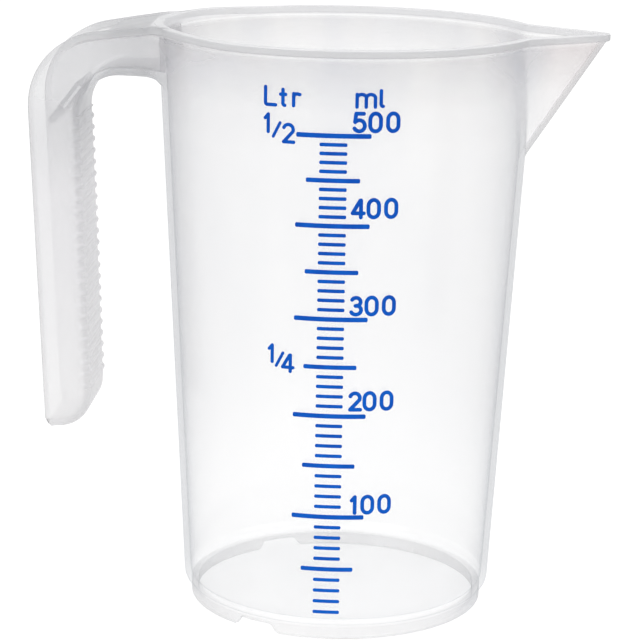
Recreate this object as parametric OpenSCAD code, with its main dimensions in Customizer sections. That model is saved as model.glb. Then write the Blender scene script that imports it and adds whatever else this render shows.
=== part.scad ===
// Half-litre measuring jug, moulded in one piece with a printed scale.
// The origin is the centre of the foot on the table, Z is up, the spout points
// to +X, the handle to -X and the printed scale faces -Y. Lengths in mm.

/* [Node] */
// Which node to draw

/* [Cup] */
// Height of the rim above the table
cup_height = 135; // [100:0.5:200]
// Outside radius of the wall at the rim
mouth_radius = 43; // [30:0.1:60]
// Outside radius of the wall at the underside of the floor
floor_radius = 36; // [25:0.1:55]
// Thickness of the cup wall
wall_thickness = 1.4; // [0.8:0.1:3]
// Thickness of the cup floor
floor_thickness = 1.3; // [0.8:0.1:3]
// Rounding outside between wall and floor
outer_corner_radius = 2.6; // [1:0.1:6]
// Rounding inside between wall and floor
inner_corner_radius = 1.6; // [0.5:0.1:6]

/* [Foot ring] */
// Height of the foot ring
foot_height = 3.2; // [1:0.1:8]
// How far the foot ring stands in from the wall
foot_inset = 1.6; // [0:0.1:10]
// Thickness of the foot ring
foot_thickness = 1.6; // [0.8:0.1:4]
// Height of a drain notch
notch_height = 2; // [0.5:0.1:4]
// Width of a drain notch at the table
notch_width = 11.4; // [4:0.1:20]
// Slope of the notch ends as run per height
notch_slope_share = 0.7; // [0:0.05:1.5]
// Angles of the two drain notches round the foot
notch_angles = [119, 241]; // [0:1:360]

/* [Rim] */
// Height of the thickened band at the rim
rim_height = 1.7; // [1:0.1:4]
// How far the band stands out from the wall
rim_overhang = 0.8; // [0.3:0.1:2]
// Rounding of the outer edges of the band
rim_edge_radius = 0.4; // [0.1:0.05:0.8]

/* [Spout] */
// How far the spout tip stands out from the wall at the rim
spout_projection = 16.2; // [8:0.1:30]
// Depth below the rim of the point where the keel meets the wall
keel_drop = 27.6; // [10:0.1:60]
// Half of the angle between the two sides seen from above
spout_half_angle = 35; // [20:0.5:50]
// Rounding of the keel outside
keel_radius = 2.2; // [1.5:0.1:5]
// Thickness of the spout walls
spout_wall = 1.3; // [0.8:0.1:3]
// Rounding between the spout side and the round wall
spout_fillet_radius = 9; // [2:0.5:20]

/* [Handle] */
// Half of the width of the grip
grip_half_width = 11.5; // [6:0.1:20]
// Depth of the open channel from the finger side to the free edge
channel_depth = 11.6; // [6:0.1:20]
// Thickness of the handle walls
handle_wall = 1.5; // [1:0.1:4]
// Rounding along the finger side of the grip
grip_corner_radius = 3; // [1.6:0.1:6]
// Length of the arm from the wall at the rim to the bend axis
arm_length = 12.1; // [6:0.1:30]
// Depth of the bend axis below the rim
bend_drop = 16.5; // [8:0.1:40]
// Rounding of the finger gap in the upper corner
gap_corner_radius = 5; // [2:0.1:12]
// How much shallower the channel is in the arm than in the grip
arm_shallowing = 1.8; // [0:0.1:4]
// Lean of the grip towards the cup at its lower end
grip_lean = 2.2; // [0:0.1:6]
// Extra narrowing of the channel depth per length of grip
grip_taper = 0.6; // [0:0.1:3]
// Length of the grip from the bend axis to its lower end
grip_length = 77.2; // [40:0.1:120]
// Rounding of the lower end on the finger side
end_corner_radius = 7.5; // [3:0.1:10]
// Width of the bevel at the lower free corner of the grip
end_bevel_width = 1.4; // [0.2:0.1:4]
// Height of the bevel at the lower free corner of the grip
end_bevel_height = 2.6; // [0.2:0.1:6]
// How far the rounding beside the arm stays off the wall at the rim
arm_root_gap = 0.47; // [0:0.01:2]
// Thickness of the bridge between the arm walls at the rim
bridge_thickness = 1.4; // [0.8:0.1:3]

/* [Grip ribs] */
// Number of ribs across the finger side
rib_count = 24; // [0:1:40]
// Distance from one rib to the next
rib_pitch = 2.76; // [1.5:0.01:6]
// Height of the top rib below the bend axis
first_rib_drop = 4.2; // [0:0.1:10]
// Radius of the round bar that makes a rib
rib_radius = 0.75; // [0.3:0.05:2]
// How far a rib stands out of the grip
rib_height = 0.5; // [0.2:0.05:1.5]

/* [Brace] */
// Thickness of the slanted brace in the bend
brace_thickness = 1.5; // [0.8:0.1:3]
// Length of the brace
brace_length = 9.6; // [4:0.1:14]
// Angle round the bend where the brace starts, above the level
brace_start_angle = 18; // [0:1:80]
// Slope of the brace below the level
brace_slope = 53; // [0:1:80]

/* [Scale] */
// Fullest line of the scale in millilitres
scale_top = 500; // [100:50:1000]
// Volume between two lines in millilitres
scale_step = 10; // [5:5:50]
// Length of the lines for the hundreds
long_line = 16.2; // [4:0.1:30]
// Length of the lines for the fifties
middle_line = 11.7; // [4:0.1:30]
// Length of the lines for the tens
short_line = 6; // [2:0.1:20]
// Breadth of the lines for the hundreds
long_breadth = 1.05; // [0.3:0.05:2]
// Breadth of the lines for the fifties
middle_breadth = 1; // [0.3:0.05:2]
// Breadth of the lines for the tens
short_breadth = 0.8; // [0.3:0.05:2]
// Thickness of the printed ink
ink_thickness = 0.1; // [0.02:0.01:0.3]

/* [Hidden] */
$fn = 96;
// Length by which a cutting body runs past the material
overrun = 2;
// Cubic millimetres in a millilitre
ml = 1000;
// Shares by which rounded corners are made fuller so that they cross their flat sides
keel_round_share = 1.02;
fillet_round_share = 1.01;
// Depth by which the fillet of the spout starts inside the wall
fillet_bite = 0.4;
plastic_color = "#E9EBEE";
ink_color = "#0A55C8";

// Wall of the cup
wall_slope = (mouth_radius - floor_radius) / (cup_height - foot_height);
wall_angle = atan(wall_slope);
floor_top = foot_height + floor_thickness;
rim_base = cup_height - rim_height;
rim_outer_radius = mouth_radius + rim_overhang;
foot_radius = floor_radius - foot_inset;

// Outer radius of the cup wall at a height
function wall_radius(z) = floor_radius + wall_slope * (z - foot_height);
// Inner radius of the cup wall at a height
function bore_radius(z) = wall_radius(z) - wall_thickness / cos(wall_angle);

// Level of the surface when the cup holds a volume: a cone frustum solved for its height
function fill_height(volume) =
    floor_top + (pow(pow(bore_radius(floor_top), 3)
                     + 3 * wall_slope * volume * ml / PI, 1 / 3)
                 - bore_radius(floor_top)) / wall_slope;

// Spout
spout_reach = mouth_radius + spout_projection;
keel_foot_height = cup_height - keel_drop;
keel_top_reach = spout_reach - rim_overhang;
keel_foot_reach = wall_radius(keel_foot_height);
keel_angle = atan((keel_top_reach - keel_foot_reach) / (rim_base - keel_foot_height));
keel_length = (rim_base - keel_foot_height) / cos(keel_angle);
section_half_angle = atan(tan(spout_half_angle) / cos(keel_angle));
spout_root = spout_projection + keel_length / 2;

// Handle
bend_distance = mouth_radius + arm_length;
bend_height = cup_height - bend_drop;
channel_inner_radius = grip_corner_radius - handle_wall;
bend_outer_radius = gap_corner_radius + handle_wall;
arm_roof = bend_height + gap_corner_radius;
back_radius = gap_corner_radius + channel_depth - arm_shallowing;
back_distance = bend_distance + arm_shallowing * cos(grip_lean);
arm_end_top = bend_height - arm_shallowing * sin(grip_lean) + back_radius;
end_straight = grip_length - end_corner_radius;
arm_top_slope = (cup_height - arm_end_top) / (back_distance - mouth_radius);
arm_ring = mouth_radius + arm_root_gap;
arm_fillet_radius = (pow(bend_distance, 2) + pow(grip_half_width, 2) - pow(arm_ring, 2))
                    / (2 * (arm_ring - grip_half_width));
arm_centre = [-bend_distance, grip_half_width + arm_fillet_radius];
arm_half_width = arm_centre[1] * mouth_radius / norm(arm_centre);

// Height of the top edge of the arm at a distance from the jug axis
function arm_top(distance) = cup_height - arm_top_slope * (distance - mouth_radius);

// Round wall of the cup as a solid cone with a rounded foot, cut level at a height
module cup_solid_outline(base, radius, corner, top) {
    centre = radius + wall_slope * corner - corner / cos(wall_angle);
    polygon([
        [0, base],
        [centre, base],
        [centre + corner * cos(wall_angle), base + corner - corner * sin(wall_angle)],
        [radius + wall_slope * (top - base), top],
        [0, top],
    ]);
    translate([centre, base + corner])
        circle(corner);
}

module cup_outside(top) {
    rotate_extrude()
        intersection() {
            cup_solid_outline(foot_height, floor_radius, outer_corner_radius, top);
            square([2 * mouth_radius, 2 * cup_height]);
        }
}

// Plain cone of the outer wall, for cutting the parts that meet it
module wall_cone() {
    rotate([0, 0, 90])
        translate([0, 0, foot_height])
            cylinder(r1 = floor_radius, r2 = wall_radius(cup_height + overrun),
                     h = cup_height + overrun - foot_height);
}

module cup_inside(top) {
    rotate_extrude()
        intersection() {
            cup_solid_outline(floor_top, bore_radius(floor_top), inner_corner_radius, top);
            square([2 * mouth_radius, 2 * cup_height]);
        }
}

// Section of the spout square to its keel, drawn in by an inset
module spout_section(inset) {
    radius = keel_radius - inset;
    tangent_x = -keel_radius + radius * sin(section_half_angle);
    tangent_y = radius * cos(section_half_angle);
    back_y = tangent_y + (tangent_x + spout_root) * tan(section_half_angle);
    translate([-keel_radius, 0])
        circle(radius * keel_round_share);
    polygon([
        [tangent_x, tangent_y],
        [-spout_root, back_y],
        [-spout_root, -back_y],
        [tangent_x, -tangent_y],
    ]);
}

// Fillet between the spout side and the round wall, in the section square to the keel
module spout_section_fillet() {
    side_normal = [sin(section_half_angle), cos(section_half_angle)];
    side_point = keel_radius * (side_normal - [1, 0]);
    ring_point = fillet_on_ring(0, mouth_radius - fillet_bite);
    end = [(ring_point[0] - keel_top_reach) * cos(keel_angle), ring_point[1]];
    wall_normal = [ring_point[0] / cos(keel_angle), ring_point[1]];
    end_normal = wall_normal / norm(wall_normal);
    radius = (end - side_point) * side_normal / (1 - end_normal * side_normal);
    centre = end + radius * end_normal;
    difference() {
        polygon([[-spout_root, 0], centre - radius * side_normal, centre, end]);
        translate(centre)
            circle(radius * fillet_round_share);
    }
}

// A section drawn out along the keel
module along_keel() {
    translate([keel_top_reach, 0, rim_base])
        rotate([0, keel_angle, 0])
            translate([0, 0, -keel_length - overrun])
                linear_extrude(keel_length + spout_root)
                    children();
}

// Space that the spout opens beside the cup, from above the rim down to the keel
module spout_channel() {
    intersection() {
        along_keel()
            spout_section(spout_wall);
        translate([0, -mouth_radius, 0])
            cube([2 * mouth_radius, 2 * mouth_radius, cup_height + overrun]);
    }
}

// Plan of the spout at the rim, grown outwards by an amount
module lip_plan(grow) {
    radius = keel_radius + grow;
    apex = keel_top_reach + keel_radius * (1 / sin(spout_half_angle) - 1)
           + grow / sin(spout_half_angle);
    centre = apex - radius / sin(spout_half_angle);
    tangent_x = centre + radius * sin(spout_half_angle);
    tangent_y = radius * cos(spout_half_angle);
    translate([centre, 0])
        circle(radius);
    polygon([
        [tangent_x, tangent_y],
        [0, apex * tan(spout_half_angle)],
        [0, -apex * tan(spout_half_angle)],
        [tangent_x, -tangent_y],
    ]);
}

// Centre of the fillet between the grown spout side and a circle of the wall
function fillet_centre(grow, ring) =
    let (apex = keel_top_reach + keel_radius * (1 / sin(spout_half_angle) - 1)
                + grow / sin(spout_half_angle),
         reach = ring + spout_fillet_radius,
         square_distance = apex * sin(spout_half_angle) + spout_fillet_radius,
         angle = 90 - spout_half_angle - acos(square_distance / reach))
    [reach * cos(angle), reach * sin(angle)];

// Point where that fillet meets the circle of the wall
function fillet_on_ring(grow, ring) =
    fillet_centre(grow, ring) * ring / norm(fillet_centre(grow, ring));

// Corner of material that fills the notch between the spout side and the ring
module lip_fillet(grow, ring) {
    centre = fillet_centre(grow, ring);
    on_side = centre - spout_fillet_radius * [sin(spout_half_angle), cos(spout_half_angle)];
    on_ring = fillet_on_ring(grow, ring);
    difference() {
        polygon([[0, 0], on_side, centre, on_ring]);
        translate(centre)
            circle(spout_fillet_radius);
    }
}

module rim_plan(grow, ring) {
    intersection() {
        union() {
            lip_plan(grow);
            lip_fillet(grow, ring);
            mirror([0, 1])
                lip_fillet(grow, ring);
        }
        translate([0, -ring])
            square([2 * ring, 2 * ring]);
    }
}

module ring_section() {
    difference() {
        translate([bore_radius(rim_base), rim_base])
            square([rim_outer_radius - bore_radius(rim_base), rim_height]);
        polygon([
            [bore_radius(rim_base), rim_base],
            [bore_radius(cup_height), cup_height],
            [bore_radius(rim_base), cup_height],
        ]);
        translate([rim_outer_radius - rim_edge_radius, cup_height - rim_edge_radius])
            difference() {
                square(2 * rim_edge_radius);
                circle(rim_edge_radius);
            }
        translate([rim_outer_radius - rim_edge_radius, rim_base - rim_edge_radius])
            difference() {
                square([2 * rim_edge_radius, 2 * rim_edge_radius]);
                translate([0, 2 * rim_edge_radius])
                    circle(rim_edge_radius);
            }
    }
}

// Section of the handle channel: the finger side at zero, the open side beyond
module channel_section(inset, corner, depth) {
    half = grip_half_width - inset;
    translate([inset + corner, -half])
        square([depth - inset - corner, 2 * half]);
    translate([inset, -half + corner])
        square([corner, 2 * (half - corner)]);
    for (side = [-1, 1])
        translate([inset + corner, side * (half - corner)])
            circle(corner);
}

module channel_outer(depth) {
    channel_section(0, grip_corner_radius, depth);
}

module channel_inner(depth) {
    channel_section(handle_wall, channel_inner_radius, depth);
}

module channel_wall(depth) {
    difference() {
        channel_outer(depth);
        channel_inner(depth + overrun);
    }
}

// Moves a body into the frame of the grip: bend axis at zero, grip pointing down
module at_bend() {
    translate([-bend_distance, 0, bend_height])
        children();
}

// The channel swept round the finger gap from the grip to the arm
module bend_sweep() {
    intersection() {
        at_bend()
            rotate([90, 0, 0])
                rotate([0, 0, 90])
                    rotate_extrude(angle = 90 + grip_lean)
                        translate([gap_corner_radius, 0])
                            channel_wall(channel_depth + overrun);
        bend_side_view();
    }
}

// Side view of the bend: a round free edge that runs into the sloping top of the arm
module bend_side_view() {
    inside = back_distance + overrun;
    rotate([90, 0, 0])
        translate([0, 0, -grip_half_width - overrun])
            linear_extrude(2 * (grip_half_width + overrun)) {
                translate([-back_distance, arm_end_top - back_radius])
                    circle(back_radius);
                polygon([
                    [-inside, bend_height],
                    [-inside, arm_top(inside)],
                    [-mouth_radius, cup_height],
                    [-mouth_radius, bend_height],
                ]);
            }
}

// Round cutter beside the arm, with the rounding of the lower edge turned into it
module arm_side_cutter(inset, corner, roof) {
    radius = arm_fillet_radius + inset;
    translate(arm_centre)
        rotate_extrude()
            difference() {
                translate([0, roof - overrun])
                    square([radius + corner, cup_height - roof + 2 * overrun]);
                translate([radius, roof + corner])
                    square([2 * corner, cup_height]);
                translate([radius + corner, roof + corner])
                    circle(corner);
                if (inset == 0)
                    translate([radius - rim_overhang, rim_base])
                        square([2 * corner, cup_height]);
            }
}

module arm_block(inset, corner) {
    roof = arm_roof + inset;
    difference() {
        rotate([90, 0, 0])
            translate([0, 0, -arm_half_width])
                linear_extrude(2 * arm_half_width)
                    polygon([
                        [-bend_distance, roof],
                        [0, roof],
                        [0, cup_height + inset * overrun],
                        [-mouth_radius, cup_height + inset * overrun],
                        [-bend_distance, arm_top(bend_distance) + inset * overrun],
                    ]);
        arm_side_cutter(inset, corner, roof);
        mirror([0, 1, 0])
            arm_side_cutter(inset, corner, roof);
    }
}

// One straight length of the grip in its own frame, channel depth shrinking downwards
module grip_straight() {
    intersection() {
        translate([0, 0, -end_straight])
            linear_extrude(end_straight)
                mirror([1, 0])
                    translate([gap_corner_radius, 0])
                        channel_wall(channel_depth);
        grip_side_view();
    }
}

// Side view of the grip: free edge slightly tapered, lower end cut level
module grip_side_view() {
    rotate([90, 0, 0])
        translate([0, 0, -grip_half_width - overrun])
            linear_extrude(2 * (grip_half_width + overrun))
                polygon([
                    [0, 0],
                    [-gap_corner_radius - channel_depth, 0],
                    [-gap_corner_radius - channel_depth + grip_taper, end_bevel_height - grip_length],
                    [-gap_corner_radius - channel_depth + grip_taper + end_bevel_width, -grip_length],
                    [0, -grip_length],
                ]);
}

// Lower end: the channel turned outwards and closed by its own wall
module grip_end() {
    depth = channel_depth - end_corner_radius;
    intersection() {
        translate([-gap_corner_radius - end_corner_radius, 0, -end_straight]) {
            rotate([90, 0, 0])
                rotate([0, 0, -90])
                    rotate_extrude(angle = 90)
                        intersection() {
                            difference() {
                                mirror([1, 0])
                                    translate([-end_corner_radius, 0])
                                        channel_outer(channel_depth);
                                mirror([1, 0])
                                    translate([-end_corner_radius, 0])
                                        channel_inner(channel_depth);
                            }
                            translate([0, -grip_half_width])
                                square([end_corner_radius, 2 * grip_half_width]);
                        }
            rotate([0, -90, 0])
                linear_extrude(depth)
                    intersection() {
                        translate([-end_corner_radius, 0])
                            channel_wall(channel_depth);
                        translate([-end_corner_radius, -grip_half_width])
                            square([end_corner_radius, 2 * grip_half_width]);
                    }
        }
        grip_side_view();
    }
}

module in_grip_frame() {
    at_bend()
        rotate([0, -grip_lean, 0])
            children();
}

// One rib: a round bar across the finger side that dips into the rounded corners
module rib_bar() {
    flat_half = grip_half_width - grip_corner_radius;
    sunk = rib_radius - rib_height;
    turn_radius = grip_corner_radius - rib_radius;
    translate([-gap_corner_radius - sunk, 0, 0]) {
        rotate([90, 0, 0])
            cylinder(r = rib_radius, h = 2 * flat_half, center = true);
        for (side = [0, 1])
            mirror([0, side, 0])
                translate([-turn_radius, flat_half, 0])
                    rotate_extrude(angle = 90)
                        translate([turn_radius, 0])
                            circle(rib_radius);
    }
}

// Lines of the scale: thin bands lying on the wall at the height of each volume
module scale_line(volume, long, breadth) {
    z = fill_height(volume);
    radius = wall_radius(z);
    sweep = long / radius * 180 / PI;
    low = z - breadth / 2;
    high = z + breadth / 2;
    rotate([0, 0, -90 - sweep / 2])
        rotate_extrude(angle = sweep)
            polygon([
                [wall_radius(low), low],
                [wall_radius(low) + ink_thickness, low],
                [wall_radius(high) + ink_thickness, high],
                [wall_radius(high), high],
            ]);
}

function is_hundred(volume) = volume % 100 == 0;
function is_fifty(volume) = volume % 50 == 0 && !is_hundred(volume);

// Volumes whose lines find room on the wall under the rim
volumes = [for (volume = [scale_step : scale_step : scale_top])
               if (fill_height(volume) + long_breadth < rim_base) volume];

module vessel() {
    color(plastic_color)
        difference() {
            cup_outside(rim_base);
            cup_inside(rim_base + overrun);
            spout_channel();
        }
}

module foot_ring() {
    color(plastic_color)
        difference() {
            cylinder(r = foot_radius, h = foot_height + outer_corner_radius);
            translate([0, 0, -overrun])
                cylinder(r = foot_radius - foot_thickness,
                         h = foot_height + outer_corner_radius + 2 * overrun);
            cup_outside(rim_base);
            for (angle = notch_angles)
                rotate([0, 0, angle])
                    rotate([90, 0, 90])
                        linear_extrude(foot_radius + overrun)
                            polygon([
                                [-notch_width / 2, -overrun],
                                [-notch_width / 2, 0],
                                [-notch_width / 2 + notch_slope_share * notch_height, notch_height],
                                [notch_width / 2 - notch_slope_share * notch_height, notch_height],
                                [notch_width / 2, 0],
                                [notch_width / 2, -overrun],
                            ]);
        }
}

module rim() {
    color(plastic_color)
        difference() {
            union() {
                rotate_extrude()
                    ring_section();
                translate([0, 0, rim_base])
                    linear_extrude(rim_height)
                        difference() {
                            rim_plan(rim_overhang, rim_outer_radius);
                            circle(mouth_radius);
                        }
            }
            translate([0, 0, rim_base - overrun])
                linear_extrude(rim_height + 2 * overrun)
                    intersection() {
                        lip_plan(-spout_wall);
                        translate([0, -mouth_radius])
                            square(2 * mouth_radius);
                    }
        }
}

module spout() {
    color(plastic_color)
        difference() {
            intersection() {
                along_keel()
                    difference() {
                        union() {
                            spout_section(0);
                            spout_section_fillet();
                            mirror([0, 1])
                                spout_section_fillet();
                        }
                        spout_section(spout_wall);
                        translate([-2 * spout_root, -spout_root])
                            square([spout_root, 2 * spout_root]);
                    }
                translate([0, -mouth_radius, 0])
                    cube([2 * mouth_radius, 2 * mouth_radius, rim_base]);
            }
            wall_cone();
        }
}

module handle_arm() {
    inside = bend_distance + overrun;
    color(plastic_color) {
        difference() {
            arm_block(0, grip_corner_radius);
            difference() {
                arm_block(handle_wall, channel_inner_radius);
                rotate([90, 0, 0])
                    translate([0, 0, -arm_half_width])
                        linear_extrude(2 * arm_half_width)
                            polygon([
                                [-inside, arm_top(inside) - bridge_thickness],
                                [-mouth_radius, cup_height - bridge_thickness],
                                [0, cup_height - bridge_thickness],
                                [0, cup_height + overrun],
                                [-inside, cup_height + overrun],
                            ]);
            }
            wall_cone();
            translate([0, 0, rim_base])
                cylinder(r = rim_outer_radius, h = rim_height + overrun);
        }
    }
}

module handle_grip() {
    color(plastic_color) {
        bend_sweep();
        in_grip_frame() {
            grip_straight();
            grip_end();
        }
    }
}

module grip_ribs() {
    color(plastic_color)
        in_grip_frame()
            difference() {
                for (index = [0 : rib_count - 1])
                    translate([0, 0, -first_rib_drop - index * rib_pitch])
                        rib_bar();
                translate([0, 0, -grip_length])
                    linear_extrude(grip_length + overrun)
                        mirror([1, 0])
                            translate([gap_corner_radius, 0])
                                channel_outer(channel_depth);
            }
}

module handle_brace() {
    color(plastic_color)
        at_bend()
            rotate([90, 0, 0])
                linear_extrude(2 * (grip_half_width - handle_wall), center = true)
                    difference() {
                        translate(bend_outer_radius * [-cos(brace_start_angle), sin(brace_start_angle)])
                            rotate(180 + brace_slope)
                                translate([0, -brace_thickness / 2])
                                    square([brace_length, brace_thickness]);
                        circle(bend_outer_radius);
                    }
}

module scale_lines_100ml() {
    color(ink_color)
        for (volume = volumes)
            if (is_hundred(volume))
                scale_line(volume, long_line, long_breadth);
}

module scale_lines_50ml() {
    color(ink_color)
        for (volume = volumes)
            if (is_fifty(volume))
                scale_line(volume, middle_line, middle_breadth);
}

module scale_lines_10ml() {
    color(ink_color)
        for (volume = volumes)
            if (!is_hundred(volume) && !is_fifty(volume))
                scale_line(volume, short_line, short_breadth);
}

vessel();
foot_ring();
rim();
spout();
handle_arm();
handle_grip();
grip_ribs();
handle_brace();
scale_lines_100ml();
scale_lines_50ml();
scale_lines_10ml();
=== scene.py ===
"""Looks of the measuring jug: one clear moulding and a printed blue scale.

Lengths in this script are millimetres until a mesh is made, where they become metres.
The origin is the centre of the foot, Z is up, the spout points to +X, the handle to -X
and the printed scale faces -Y.
"""

import math

import bmesh
import bpy
import numpy as np
from mathutils import Matrix, Vector


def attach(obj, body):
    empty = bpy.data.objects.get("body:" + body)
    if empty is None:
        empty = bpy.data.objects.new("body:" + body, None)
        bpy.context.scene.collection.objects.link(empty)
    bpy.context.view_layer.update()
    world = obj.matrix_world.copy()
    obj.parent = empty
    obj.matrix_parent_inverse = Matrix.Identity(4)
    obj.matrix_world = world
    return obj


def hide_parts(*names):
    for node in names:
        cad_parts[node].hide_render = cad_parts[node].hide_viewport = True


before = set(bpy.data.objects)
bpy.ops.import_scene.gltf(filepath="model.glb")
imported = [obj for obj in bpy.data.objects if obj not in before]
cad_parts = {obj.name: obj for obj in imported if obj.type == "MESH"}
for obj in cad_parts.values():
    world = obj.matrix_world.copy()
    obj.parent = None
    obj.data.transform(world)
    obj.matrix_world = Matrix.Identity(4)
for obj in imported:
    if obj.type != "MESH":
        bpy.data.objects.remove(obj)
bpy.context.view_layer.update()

MM = 0.001

# Cup
CUP_HEIGHT = 135.0
MOUTH_RADIUS = 43.0
FLOOR_RADIUS = 36.0
FOOT_HEIGHT = 3.2
WALL = 1.4
FLOOR_TOP = 4.5
OUTER_CORNER = 2.6
INNER_CORNER = 1.6
FOOT_RADIUS = 34.4
FOOT_WALL = 1.6
FOOT_EDGE = 0.35
FOOT_FILLET = 0.5
NOTCH_ANGLES = (119.0, 241.0)
NOTCH_HEIGHT = 2.0
NOTCH_WIDTH = 11.4
NOTCH_SLOPE = 0.7
NOTCH_LEFT = 0.2
RIM_HEIGHT = 1.7
RIM_OVERHANG = 0.8
RIM_EDGE = 0.4
RIM_INNER_EDGE = 0.35
WALL_SLOPE = (MOUTH_RADIUS - FLOOR_RADIUS) / (CUP_HEIGHT - FOOT_HEIGHT)
WALL_ANGLE = math.atan(WALL_SLOPE)
RIM_BASE = CUP_HEIGHT - RIM_HEIGHT
OUTER_CORNER_START = -56.0
# Small steps out and up that soften two corners, foot into cup and wall into rim
FOOT_COVE = ((0.0, -0.1), (0.08, 0.12), (0.3, 0.27))
RIM_COVE = ((0.0, -0.35), (0.06, -0.1), (0.22, 0.0))
# Rings of the cup: radii under and in the floor, heights on the wall below and beside the spout
FLOOR_RINGS = (8, 16, 24, 29)
LOWEST_RING = 10.0
LOW_STEP, HIGH_STEP = 5.0, 0.8
WALL_TOP, BORE_TOP = RIM_BASE - 0.5, CUP_HEIGHT - 1.0
# Cone inside the wall that trims what runs into the cup
TRIM_INSET = 0.7
TRIM_HEIGHTS = (60, 100, 133.6, 140)

# Spout
SPOUT_REACH = 59.2
KEEL_FOOT_HEIGHT = 106.5
KEEL_OUT = 0.5
SPOUT_HALF_ANGLE = math.radians(35)
KEEL_RADIUS = 2.2
SPOUT_WALL = 1.35
SPOUT_BLEND = 2.0
SPOUT_BLEND_LOW = 0.35
SPOUT_BLEND_RISE = 14.0
SPOUT_BLEND_INSIDE = 0.4
SPOUT_ZONE_LOW = 100.0
SPOUT_ZONE_HALF = math.radians(60)
KEEL_TOP_REACH = SPOUT_REACH - RIM_OVERHANG + KEEL_OUT
KEEL_FOOT_REACH = FLOOR_RADIUS + WALL_SLOPE * (KEEL_FOOT_HEIGHT - FOOT_HEIGHT)
KEEL_SLOPE = (KEEL_TOP_REACH - KEEL_FOOT_REACH) / (RIM_BASE - KEEL_FOOT_HEIGHT)
# Degrees between the columns of the cup: all round, and up to two angles from the spout
COLUMN_STEP = 1.25
SPOUT_COLUMNS = ((34, 0.5), (5, 0.2))

# Handle, drawn in the plane of the jug's axis
HANDLE_WALL = 1.5
CORNER = 3.0
CORNER_SHARE, HOLLOW_CORNER_SHARE = 0.75, 0.6
EDGE_ROUND, EDGE_CUT = 0.3, 0.08
GAP_ROOF = 123.5
GAP_CORNER = 9.0
FINGER_DISTANCE = 60.1
BACK_CENTRE = (-54.9, 116.7)
BACK_RADIUS = 16.6
CHANNEL_DEPTH = 11.35
GRIP_TAPER = 0.6
GRIP_LEAN = math.radians(2.2)
GRIP_END = 41.36
END_CORNER = 7.5
BEVEL_WIDTH = 1.4
BEVEL_HEIGHT = 2.6
HOLLOW_OVER = 4.0
HOLLOW_FLARE = (0.25, 0.07)
ROOT_REACH, ROOT_DROP, ROOT_SIDE = 3.6, 2.1, 0.8
LIP_HEIGHT = 1.7
LIP_END, LIP_FADE = 66.0, 9.0
ARM_START, ARM_NEAR = 29.5, 30.0
ARM_STEP = 0.75
BEND_STATIONS = 30
# Pairs of distance from the jug axis and half width of the handle
HALF_WIDTHS = (
    (29.0, 29.6), (32.0, 27.7), (34.0, 25.2), (36.5, 21.6), (39.0, 18.1), (41.5, 15.3),
    (43.5, 13.5), (46.0, 12.2), (49.0, 11.6), (53.0, 11.5), (68.0, 11.5), (90.0, 11.5),
)
# Near the cup the rim and the arm's lips stand a little higher, and the lips a little wider:
# pairs of distance from the jug axis and rise or spread
RISE = ((24.0, 0.0), (36.0, 0.55), (50.0, 0.5), (57.0, 0.3), (63.0, 0.0))
SPREAD = ((38.0, 0.0), (44.5, 2.6), (50.0, 1.9), (57.0, 0.6), (63.0, 0.0))
LIFT_LOW, LIFT_HEIGHT, LIFT_REACH = 122.0, 10.0, 3.0
# Plates between the side walls: a bridge under the arm's lips and the brace in the bend
PLATE_MARGIN = 0.7
BRIDGE_END = 53.2
BRIDGE_DROP = 0.25
BRIDGE_THICKNESS = 1.4
BRACE_TOP = (-60.2, 121.2)
BRACE_SLOPE = math.radians(53)
BRACE_LENGTH = 10.8
BRACE_THICKNESS = 1.5

# Ribs across the finger side
RIB_COUNT = 24
RIB_PITCH = 2.76
RIB_TOP = 114.3
RIB_BAR = 0.75
RIB_RISE = 0.5
RIB_FADE = 1.25
RIB_STEPS = 12

# Printed scale
SCALE_TOP = 500
SCALE_STEP = 10
# Length and breadth of a line by the millilitres that it stands for a multiple of
LINE_SIZES = {100: (16.2, 1.05), 50: (11.7, 1.0), SCALE_STEP: (6.0, 0.8)}
LINE_CORNER = 0.32
LINE_CORNER_STOPS = (0, 20, 40, 60, 75, 90)
INK_OUT = 0.09
INK_IN = -0.03
INK_SHOULDER = 0.6 * INK_OUT
INK_BEVEL = 0.05
DIGIT_STROKE = 0.86
LETTER_STROKE = 0.76
SLASH_STROKE = 0.67
LOOP_GAP = 0.02
CAP_STEPS = 8
PRINT_HALF_WIDTH = 16
PRINT_STRIP = 0.8

# Limits of the marks that tell the material where painted shade lies on a thick edge, and where
# the handle is
MARK_SLACK, MARK_NEAR = 0.2, 0.02
BAND_OUT = 0.15
KEEL_HALF, KEEL_SKIN = 2.2, 0.3
KEEL_NEAR = MOUTH_RADIUS - 2
LIP_INSIDE = 0.7
EDGE_END, EDGE_FADE = 67.0, 8.0
GRIP_EDGE_WIDTH = 0.9
# Strength of the painted shade on the keel and along the grip's free edge
KEEL_EDGE_SHADE, GRIP_EDGE_SHADE = 0.7, 0.45
HANDLE_FADE = 2.5
# Bend in degrees up to which a surface is shaded smooth
SMOOTH_ANGLE = 32


def clamp(share):
    return min(max(share, 0.0), 1.0)


def smooth_max(a, b, width):
    """Larger of two numbers, with a soft turn where they are nearly equal."""
    near = max(width - abs(a - b), 0.0) / width
    return max(a, b) + near * near * width / 4


def wall_radius(z):
    return FLOOR_RADIUS + WALL_SLOPE * (z - FOOT_HEIGHT)


def bore_radius(z):
    return wall_radius(z) - WALL / math.cos(WALL_ANGLE)


def fill_height(volume):
    """Level of the surface when the cup holds a volume in millilitres."""
    low = bore_radius(FLOOR_TOP)
    top = (low**3 + 3 * WALL_SLOPE * volume * 1000 / math.pi) ** (1 / 3)
    return FLOOR_TOP + (top - low) / WALL_SLOPE


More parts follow.
